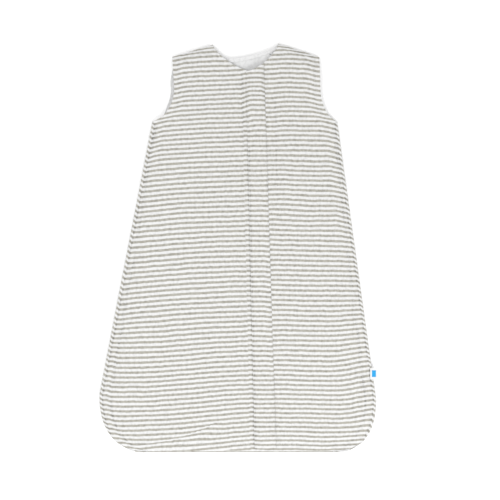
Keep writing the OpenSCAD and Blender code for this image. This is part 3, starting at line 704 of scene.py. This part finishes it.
def build_back():
    x, y = panel_grid(back_columns, BODY_ROWS, TOP_ROWS, back_top_y, SPLIT_Y)
    top, low = heights(x, y)
    fab = fabric_place(x, y)
    (pl, fl), (pr, fr) = side_wrap(x, y, low, -1), side_wrap(x, y, low, 1)
    p = np.concatenate([pl[:, ::-1], np.stack([x, y, low], -1), pr], 1)
    f = np.concatenate([fl[:, ::-1], fab, fr], 1)
    steps = np.array([4.6, 3.2, 2.0, 1.1, 0.4])[:, None]
    hx, hy = np.repeat(p[:1, :, 0], 5, 0), HEM_Y + steps + 0 * p[:1, :, 0]
    hz = heights(hx, hy)[0] - 0.25
    under_hem = np.stack([hx, hy, np.maximum(hz, p[:1, :, 2])], -1)
    # painted shade: the back's strip showing below the front's hem is painted slightly darker
    hem_fab = np.stack([hx, hy + 3.1, np.full_like(hx, 0.25)], -1)
    p, f = np.concatenate([under_hem, p]), np.concatenate([hem_fab, f])
    outer = cloth("back_cloth", p, OUTER_T, STRIPED, f, flip=True)
    lift = np.minimum(OUTER_T + 0.15 + LINING_T, 0.42 * (top - low))
    q = np.stack([x, y, low + lift], -1)[:, 1:-1]
    lining = cloth("back_lining_cloth", q, LINING_T, LINING, fab[:, 1:-1])
    return outer, lining


back, back_lining = build_back()
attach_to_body(back, "bag")
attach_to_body(back_lining, "bag")
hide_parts("back_panel", "side_seam_left", "side_seam_right", "hem_seam",
            "shoulder_seam_left", "shoulder_seam_right")
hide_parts("back_lining")

front_left, front_left_lining = front_part("front_left", front_left_columns)
front_right, front_right_lining = front_part("front_right", front_right_columns)
placket, placket_lining = front_part("placket", placket_columns)
end_rows = BODY_ROWS[BODY_ROWS < on_zip(ZIP_OPENING + 7, 0)[1]]
zip_end, zip_end_lining = front_part("zip_end", end_columns, end_rows, top=False)
for o in (front_left, front_left_lining):
    with_left(o)
for o in (front_right, front_right_lining):
    with_right(o)
for o in (placket, placket_lining):
    along_zip(o)
for o in (zip_end, zip_end_lining):
    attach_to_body(o, "bag")
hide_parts("front_left_panel")
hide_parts("front_left_lining")
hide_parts("front_right_panel", "front_right_lapel")
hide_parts("front_right_lining", "front_right_lapel_lining")
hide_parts("front_left_lapel")
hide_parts("front_left_lapel_lining")
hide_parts("zip_end_panel")
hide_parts("zip_end_lining")

# ---- Flap over the zip ----------------------------------------------------------------------------------

FLAP_T, FACING_T = 1.0, 0.6
ARCH_HIGH, ARCH_LOW = 4.4, 1.8
FREE_TOP_V, FREE_END_V, FLAP_TOP_U = 13.0, 19.0, -12.0
FLAP_COLUMNS = np.concatenate([np.linspace(0, 0.16, 7), np.linspace(0.2, 0.9, 20),
                               [0.93, 0.955, 0.975, 0.99, 1.0]])


def free_v(u):
    return mix(FREE_TOP_V, FREE_END_V, np.maximum(0, u) / FLAP_END_U)


def flap_rise(u, v):
    """Height of the flap's underside above the front panels: a tunnel over the slider, low elsewhere."""
    arch = mix(ARCH_HIGH, ARCH_LOW, ramp(u, 34, 74))
    edge = free_v(u)
    left = 0.3 + (arch - 0.3) * (0.45 * ramp(v, -FLAP_SEAM_V, -15.5) + 0.55 * ramp(v, -16, -8.5))
    right = mix(1.0, 0.62 / arch, ramp(v, 5.0, edge - 0.5))
    return left * right - 0.35 * ramp(v, edge - 2.2, edge)


def edge_share(u, v):
    """The flap's two layers are pressed thin along its free edge."""
    return 1 - 0.55 * ramp(v, free_v(u) - 2.8, free_v(u))


def flap_grid(us):
    part = FLAP_COLUMNS[None, :]
    u = np.repeat(np.asarray(us, float)[:, None], part.size, 1)
    v = mix(-FLAP_SEAM_V, free_v(u), part)
    x, y = on_flap(u, v)
    surface = mix(SEAM_TOP, FRONT_TOP, ramp(y, HEM_Y, HEM_Y + SEAM_SLOPE))
    dent = 0.25 * bump(v, -16.8, 0.9) + 0.1 * bump(v, free_v(u) - 6, 0.9) * ramp(u, 60, 110)
    dent = dent + 0.95 * (1 - ramp(v, -FLAP_SEAM_V, -FLAP_SEAM_V + 4.5))
    dent = dent + (1 - edge_share(u, v)) * (FLAP_T + FACING_T)
    soft = 0.35 * perlin(x, y, 30, 6.2) + 0.22 * perlin(x, y * 1.6, 11, 2.2)
    pucker = 0.22 * np.sin(2 * math.pi * u / 9 + 3 * perlin(x, y, 40, 5.5)) * bump(v, -15, 4)
    z = surface + flap_rise(u, v) + FLAP_T + FACING_T + 0.05
    z = z + (soft + pucker) * ramp(v, -FLAP_SEAM_V, -10) - dent
    # painted shade along the flap's two rows of stitching
    press = np.maximum(0.8 * bump(v, -16.8, 0.8) * ramp(u, 60, 140), 0.1 * bump(v, free_v(u) - 6, 0.8))
    press = np.clip(press * (0.75 + 0.4 * perlin(x, y, 6, 7.4)), 0, 1)
    seam = -FLAP_SEAM_V - 0.5 + 0 * v
    base_lift = stripe_lift(*on_flap(u, seam)) - zip_bulge(u, seam) - PLACKET_STEP
    lift = base_lift + zip_bulge(u, v) - 1.6 * ramp(v, 2, 15) * bump(u, 400, 120)
    lift = lift + 0.25 * perlin(x, y, 20, 1.8)
    return np.stack([x, y, z], -1), np.stack([x, y - lift, press], -1)


def on_flap(u, v):
    """As on_zip, but the flap's upper end follows the neckline."""
    x, y = on_zip(FLAP_TOP_U, v)
    stretch = 1 + (front_neck_y(x) - 0.8 - y) / -FLAP_TOP_U
    return on_zip(np.where(u < 0, u * stretch, u), v)


SPLIT_U = STRIP_U[1]
flap_us = np.concatenate([[-12, -11.6, -10.8, -9.5, -7.5, -5, -2.5, 0], np.linspace(3, SPLIT_U, 170)])
foot_us = np.concatenate([np.linspace(SPLIT_U, FLAP_END_U - 7, 52),
                          FLAP_END_U - np.array([4.5, 2.5, 1.2, 0.4, 0])])


def flap_part(name, us, ends):
    p, fab = flap_grid(us)
    u = np.repeat(np.asarray(us, float)[:, None], FLAP_COLUMNS.size, 1)
    share = edge_share(u, mix(-FLAP_SEAM_V, free_v(u), FLAP_COLUMNS[None, :]))[..., None]
    outer = cloth(f"{name}_cloth", p, FLAP_T * share, STRIPED, fab, closed_ends=ends)
    lower = p - share * [0, 0, FLAP_T + 0.05]
    under = cloth(f"{name}_facing_cloth", lower, FACING_T * share, LINING, fab, closed_ends=ends)
    return outer, under


flap, flap_facing = flap_part("zip_flap", flap_us, (True, False))
foot, foot_facing = flap_part("zip_flap_foot", foot_us, (False, True))
for o in (flap, flap_facing):
    along_zip(o)
for o in (foot, foot_facing):
    along_zip(o)
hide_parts("zip_flap")
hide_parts("zip_flap_facing")
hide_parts("zip_flap_foot")
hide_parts("zip_flap_foot_facing")

# ---- Zip ---------------------------------------------------------------------------------------------------

TAPE_TOP_Z, TAPE_T, TAPE_EDGE_V, SPINE_V, ROOT_V = 11.3, 0.45, 14.0, 3.0, 1.5
TAPE_US = np.linspace(-8, 636, 220)
TOOTH_PITCH, TOOTH_W, TOOTH_REACH, FIRST_TOOTH_U, LAST_TOOTH_U = 3.2, 1.15, 1.1, 13.0, 604.0
CHAIN_Z, CHAIN_T = 9.8, 2.6


def zip_tape(side):
    part = np.array([0, 0.05, 0.12, 0.25, 0.4, 0.55, 0.7, 0.85, 0.95, 1.0])
    v = side * mix(SPINE_V - 0.4, TAPE_EDGE_V, part)
    if side < 0:
        v = v[::-1]
    u, v = np.meshgrid(TAPE_US[::-1], v, indexing="ij")
    x, y = on_zip(u, v)
    z = TAPE_TOP_Z + 0.3 * bump(np.abs(v), SPINE_V, 0.8) + 0.04 * np.sin(u / 7)
    p = np.stack([x, y, z], -1)
    name = "zip_tape_left" if side < 0 else "zip_tape_right"
    o = cloth(f"{name}_cloth", p, TAPE_T, TAPE, np.stack([v, -u, 0 * u], -1))
    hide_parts(name, *(["zip_foot_tape"] if side < 0 else []))
    return o


def teeth(side):
    """A row of moulded teeth on a spine; each is a waisted block with a rounded head."""
    start = FIRST_TOOTH_U + (TOOTH_PITCH / 2 if side > 0 else 0)
    half = TOOTH_W / 2
    outline = [(SPINE_V - 0.1, half), (ROOT_V, half), (0.5, half * 0.62), (-0.35, half), (-1.0, half * 0.9)]
    outline += [(-TOOTH_REACH, half * 0.4)]
    outline += [(v, -w) for v, w in outline[::-1]]
    layers = [(0.0, 0.80), (0.22, 1.0), (CHAIN_T - 0.22, 1.0), (CHAIN_T, 0.80)]
    n = len(outline)
    verts, faces = [], []
    for u0 in np.arange(start, LAST_TOOTH_U - TOOTH_W, TOOTH_PITCH):
        base = len(verts)
        for dz, size in layers:
            for v, w in outline:
                x, y = on_zip(u0 + half - w * size, side * (0.85 + (v - 0.85) * (0.5 + 0.5 * size)))
                verts.append((x, y, CHAIN_Z + dz))
        for k in range(len(layers) - 1):
            for i in range(n):
                a, b = base + k * n + i, base + k * n + (i + 1) % n
                faces.append((a, b, b + n, a + n) if side > 0 else (a, a + n, b + n, b))
        top = tuple(base + 3 * n + i for i in range(n))
        low = tuple(base + i for i in range(n))[::-1]
        faces += [top, low] if side > 0 else [top[::-1], low[::-1]]
    u = np.linspace(FIRST_TOOTH_U - 0.5, LAST_TOOTH_U, 300)
    ring = np.linspace(0, 2 * math.pi, 10, endpoint=False)
    base = len(verts)
    for uu in u:
        for a in ring:
            x, y = on_zip(uu, side * (2.25 + 0.75 * math.cos(a)))
            verts.append((x, y, CHAIN_Z + CHAIN_T / 2 + 1.0 * math.sin(a)))
    for k in range(len(u) - 1):
        for i in range(10):
            a, b = base + k * 10 + i, base + k * 10 + (i + 1) % 10
            faces.append((a, b, b + 10, a + 10) if side > 0 else (a, a + 10, b + 10, b))
    name = "zip_teeth_left" if side < 0 else "zip_teeth_right"
    o = obj_from(f"{name}_row", verts, faces, TEETH, smooth=False)
    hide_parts(name)
    return o


for side in (-1, 1):
    for o in (zip_tape(side), teeth(side)):
        along_zip(o) if side < 0 else with_right(o)
for node, look in (("zip_bottom_stop", TEETH), ("zip_top_stop_left", TEETH), ("zip_top_stop_right", TEETH),
                   ("zip_slider", METAL), ("slider_pin", METAL), ("zip_pull", METAL)):
    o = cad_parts[node]
    o.data.materials.clear()
    o.data.materials.append(look)

# ---- Stitching, binding and labels ----------------------------------------------------------------------

STITCH, STITCH_GAP, THREAD_R = 3.0, 1.2, 0.36


def along(path, step):
    """Points every step along a path of [x, y, z] points."""
    path = np.asarray(path, float)
    run = np.concatenate([[0], np.cumsum(np.linalg.norm(np.diff(path, axis=0), axis=1))])
    at = np.arange(0, run[-1], step)
    return np.stack([np.interp(at, run, path[:, k]) for k in range(3)], -1)


def stitches(name, paths, nodes, sunk=0.12):
    """Rows of thread, each stitch a short bead that dips into the cloth at both ends."""
    verts, faces = [], []
    sides, rings = 6, 5
    for path in paths:
        dots = along(path, STITCH + STITCH_GAP)
        for a, b in zip(dots[:-1], dots[1:]):
            d = b - a
            size = np.linalg.norm(d)
            d = d / size
            across = np.array([-d[1], d[0], 0]) / math.hypot(d[0], d[1])
            up = np.cross(d, across)
            base = len(verts)
            for k in range(rings):
                t = k / (rings - 1)
                swell = math.sqrt(max(0.05, 1 - (2 * t - 1) ** 2))
                centre = a + d * STITCH * t + up * (THREAD_R * (1.1 * swell - 0.4) - sunk)
                for i in range(sides):
                    w = 2 * math.pi * i / sides
                    verts.append(centre + THREAD_R * swell * (across * math.cos(w) + up * math.sin(w)))
            for k in range(rings - 1):
                for i in range(sides):
                    p, q = base + k * sides + i, base + k * sides + (i + 1) % sides
                    faces.append((p, q, q + sides, p + sides))
            faces.append(tuple(base + i for i in range(sides))[::-1])
            faces.append(tuple(base + (rings - 1) * sides + i for i in range(sides)))
    o = obj_from(name, verts, faces, THREAD)
    if nodes:
        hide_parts(*nodes)
    return o


def front_path(points):
    x, y = np.array([p[0] for p in points], float), np.array([p[1] for p in points], float)
    return np.stack([x, y, heights(x, y)[0] - 0.6 * pressed(x, y)], -1)


NECK_INSET = 5.0      # from the front neckline to its topstitching
arm_ys = np.concatenate([UNDERARM_L[1] + 8 + 34 * np.linspace(0, 1, 14) ** 1.5,
                         np.linspace(275, TIP_L[1] - 6, 14)])
hip_ys = np.linspace(HIP_L[1] + 6, UNDERARM_L[1] - 4, 60)
for kind, ys, insets in (("armhole", arm_ys, ARM_INSET + 0 * arm_ys), ("side", hip_ys, side_inset(hip_ys))):
    for side, edge_x, inward in (("left", left_x, 1), ("right", right_x, -1)):
        line = front_path([(float(edge_x(y)) + inward * inset, y) for y, inset in zip(ys, insets)])
        name = f"{kind}_stitching_{side}"
        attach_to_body(stitches(f"{name}_thread", [line], [name]), "bag")
hem_path = front_path([(x, HEM_Y + 15) for x in np.linspace(HEM_L_X + 6, HEM_R_X - 6, 60)])
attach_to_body(stitches("hem_stitching_thread", [hem_path], []), "bag")
neck_xs_l = np.linspace(NECK_L[0] + 9, zip_x(315, -FLAP_SEAM_V - 2), 24)
neck_xs_r = np.linspace(zip_x(325, free_v(0) + 3), NECK_R[0] - 7, 16)
for side, xs, attach in (("left", neck_xs_l, with_left), ("right", neck_xs_r, with_right)):
    line = front_path([(x, float(front_neck_y(x)) - NECK_INSET) for x in xs])
    attach(stitches(f"neck_stitching_{side}_thread", [line], [f"neck_stitching_{side}"]))
with_left(stitches("placket_stitching_thread",
                   [front_path([on_zip(u, -FLAP_SEAM_V - 8) for u in np.linspace(2, 430, 60)])],
                   ["placket_stitching"]))


def flap_path(us, v):
    """Points on the flap's outer face, v being a function of u."""
    p, _ = flap_grid(us)
    rows = []
    for k, u in enumerate(us):
        part = (v(u) + FLAP_SEAM_V) / (FLAP_SEAM_V + float(free_v(u)))
        rows.append([np.interp(part, FLAP_COLUMNS, p[k, :, c]) for c in range(3)])
    return rows


seam_us = np.linspace(0, SPLIT_U - 2, 90)
edge_us = np.linspace(64, SPLIT_U - 2, 90)
rows = [flap_path(seam_us, lambda u: -16.8), flap_path(edge_us, lambda u: float(free_v(u)) - 6)]
along_zip(stitches("flap_stitching_thread", rows, ["flap_stitching"]))
foot_line = np.linspace(SPLIT_U + 2, FLAP_END_U - 14, 30)
along_zip(stitches("flap_foot_stitching_thread", [flap_path(foot_line, lambda u: -16.8),
                                                   flap_path(foot_line, lambda u: float(free_v(u)) - 6)], []))


def bartack():
    """A close zigzag that holds the flap's upper end to the garage under it."""
    across = [(-9.5 + 16.5 * t, 8.5 + (1.7 if k % 2 else -1.7)) for k, t in enumerate(np.linspace(0, 1, 12))]
    down = [(8.8 + (1.0 if k % 2 else -1.0), -8 + 13 * t) for k, t in enumerate(np.linspace(0, 1, 11))]
    verts, faces = [], []
    for line in (across, down):
        fine = along([(v, u, 0) for v, u in line], 0.6)
        top = [flap_path([u], lambda _, v=v: v)[0] for v, u, _ in fine]
        base = len(verts)
        for k, p in enumerate(top):
            p = np.array(p)
            d = np.array(top[min(k + 1, len(top) - 1)]) - np.array(top[max(k - 1, 0)])
            d = d / np.linalg.norm(d)
            side = np.array([-d[1], d[0], 0])
            for a in range(6):
                w = a * math.pi / 3
                verts.append(p + 0.55 * (side * math.cos(w) + np.array([0, 0, 1]) * (math.sin(w) + 0.5)))
        for k in range(len(top) - 1):
            for i in range(6):
                a, b = base + k * 6 + i, base + k * 6 + (i + 1) % 6
                faces.append((a, b, b + 6, a + 6))
    o = obj_from("flap_bartack_thread", verts, faces, THREAD)
    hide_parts("flap_bartack")
    return o


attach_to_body(bartack(), "flap")


def binding():
    """White tape over the back neckline's seam."""
    angle = np.radians(np.linspace(198, 342, 70))[:, None]
    grow = -0.4 + 7.2 * np.array([0, 0.03, 0.1, 0.25, 0.5, 0.75, 0.9, 0.97, 1.0])[None, :]
    c, drop = np.cos(angle), np.abs(np.sin(angle)) ** BACK_NECK_BEND
    w = np.where(c < 0, BACK_NECK_X - NECK_L[0], NECK_R[0] - BACK_NECK_X)
    x = BACK_NECK_X + (w + grow) * np.sign(c) * np.abs(c) ** BACK_NECK_BEND
    y = TOP_Y - (BACK_NECK_DROP + grow) * drop
    top, low = heights(x, y)
    z = low + np.minimum(OUTER_T + LINING_T + 0.75, 0.6 * (top - low))
    p = np.stack([x, y, z + 0.06 * np.sin(angle * 60)], -1)[:, ::-1]
    o = cloth("back_neck_binding_cloth", p, 0.4, LINING, np.stack([x, y, 0 * x], -1)[:, ::-1])
    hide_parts("back_neck_binding")
    return o


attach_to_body(binding(), "bag")


def neck_label():
    lo, hi = (np.array(c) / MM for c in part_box("neck_label"))
    x, y = np.meshgrid(np.linspace(lo[0], hi[0], 30), np.linspace(lo[1], hi[1], 20))
    z = hi[2] + 0.25 + 0.25 * np.sin((x - lo[0]) / 9) * np.sin((y - lo[1]) / (hi[1] - lo[1]) * math.pi)
    p = np.stack([x, y, z], -1)
    o = cloth("neck_label_ribbon", p, 0.4, RIBBON, np.stack([x, y, 0 * x], -1))
    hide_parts("neck_label")
    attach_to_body(o, "bag")
    ends = [[(x0, y0, hi[2] + 0.35) for y0 in (lo[1] + 1, hi[1] - 1)] for x0 in (lo[0] + 1.6, hi[0] - 1.6)]
    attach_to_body(stitches("neck_label_thread", ends, []), "bag")


def side_tag():
    """A ribbon folded double, its ends caught in the side seam."""
    lo, hi = (np.array(c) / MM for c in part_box("side_tag"))
    radius = 0.45
    turn = np.linspace(-math.pi / 2, math.pi / 2, 9)
    run = np.linspace(lo[0], hi[0] - radius, 8)
    xs = np.concatenate([run[:-1], run[-1] + radius * np.cos(turn), run[::-1][1:]])
    zs = np.concatenate([np.full(7, lo[2]), lo[2] + radius + radius * np.sin(turn),
                         np.full(7, lo[2] + 2 * radius)])
    ys = np.linspace(lo[1], hi[1], 16)
    x, y = np.meshgrid(xs, ys)
    z = np.repeat(zs[None, :], len(ys), 0) + 0.25 * np.sin((y - lo[1]) / 5) * (x - lo[0]) / 12 + 0.35
    p = np.stack([x, y, z], -1)
    o = cloth("side_tag_ribbon", p, 0.3, RIBBON, np.stack([x, y, 0 * x], -1), flip=True)
    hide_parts("side_tag")
    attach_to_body(o, "bag")
    lo2, hi2 = (np.array(c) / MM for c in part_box("side_tag_patch"))
    x, y = np.meshgrid(np.linspace(lo2[0], hi2[0], 14), np.linspace(lo2[1], hi2[1], 18))
    z = lo[2] + 2 * radius + 0.5 + 0.25 * np.sin((y - lo[1]) / 5) * (x - lo[0]) / 12
    p = np.stack([x, y, z], -1)
    o = cloth("side_tag_patch_weave", p, 0.15, BLUE, np.stack([x, y, 0 * x], -1))
    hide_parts("side_tag_patch")
    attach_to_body(o, "bag")


neck_label()
side_tag()

# ---- Camera, lights and floor -----------------------------------------------------------------------------

LENS, SENSOR, VIEW_W = 70.0, 36.0, 902.5
VIEW_X, VIEW_Y = 21.7, -3.6


def area_light(name, at, target, size, power, colour=(1, 1, 1)):
    data = bpy.data.lights.new(name, "AREA")
    data.shape = "DISK"
    data.size = size
    data.energy = power
    data.color = colour
    o = bpy.data.objects.new(name, data)
    bpy.context.scene.collection.objects.link(o)
    o.location = at
    direction = Vector(target) - Vector(at)
    o.rotation_euler = direction.to_track_quat("-Z", "Y").to_euler()


def studio():
    data = bpy.data.cameras.new("camera")
    data.lens, data.sensor_width = LENS, SENSOR
    camera = bpy.data.objects.new("camera", data)
    bpy.context.scene.collection.objects.link(camera)
    camera.location = (VIEW_X * MM, VIEW_Y * MM, VIEW_W * MM * LENS / SENSOR + FRONT_TOP * MM)
    data.clip_end = 20
    bpy.context.scene.camera = camera
    bpy.ops.mesh.primitive_plane_add(size=8, location=(0, 0, -0.0004))
    floor = bpy.context.object
    floor.name = "floor"
    k = Nodes("floor_look", rough=0.9, spec=0.1)
    k.colour(k.mix(k.noise(k.place(), 3.0), (0.95, 0.95, 0.95), (0.97, 0.97, 0.97)))
    floor.data.materials.append(k.material)
    world = bpy.data.worlds.new("studio")
    bpy.context.scene.world = world
    world.use_nodes = True
    background = world.node_tree.nodes["Background"]
    background.inputs[0].default_value = (1, 1, 1, 1)
    background.inputs[1].default_value = 0.83
    area_light("key", (-0.8, -0.1, 2.1), (0, 0, 0), 1.8, 17.5)
    area_light("fill", (0.9, -1.4, 1.7), (0, -0.1, 0), 1.6, 23.0)
    bpy.context.scene.view_settings.view_transform = "Standard"
    bpy.context.scene.view_settings.exposure = 0.0


studio()
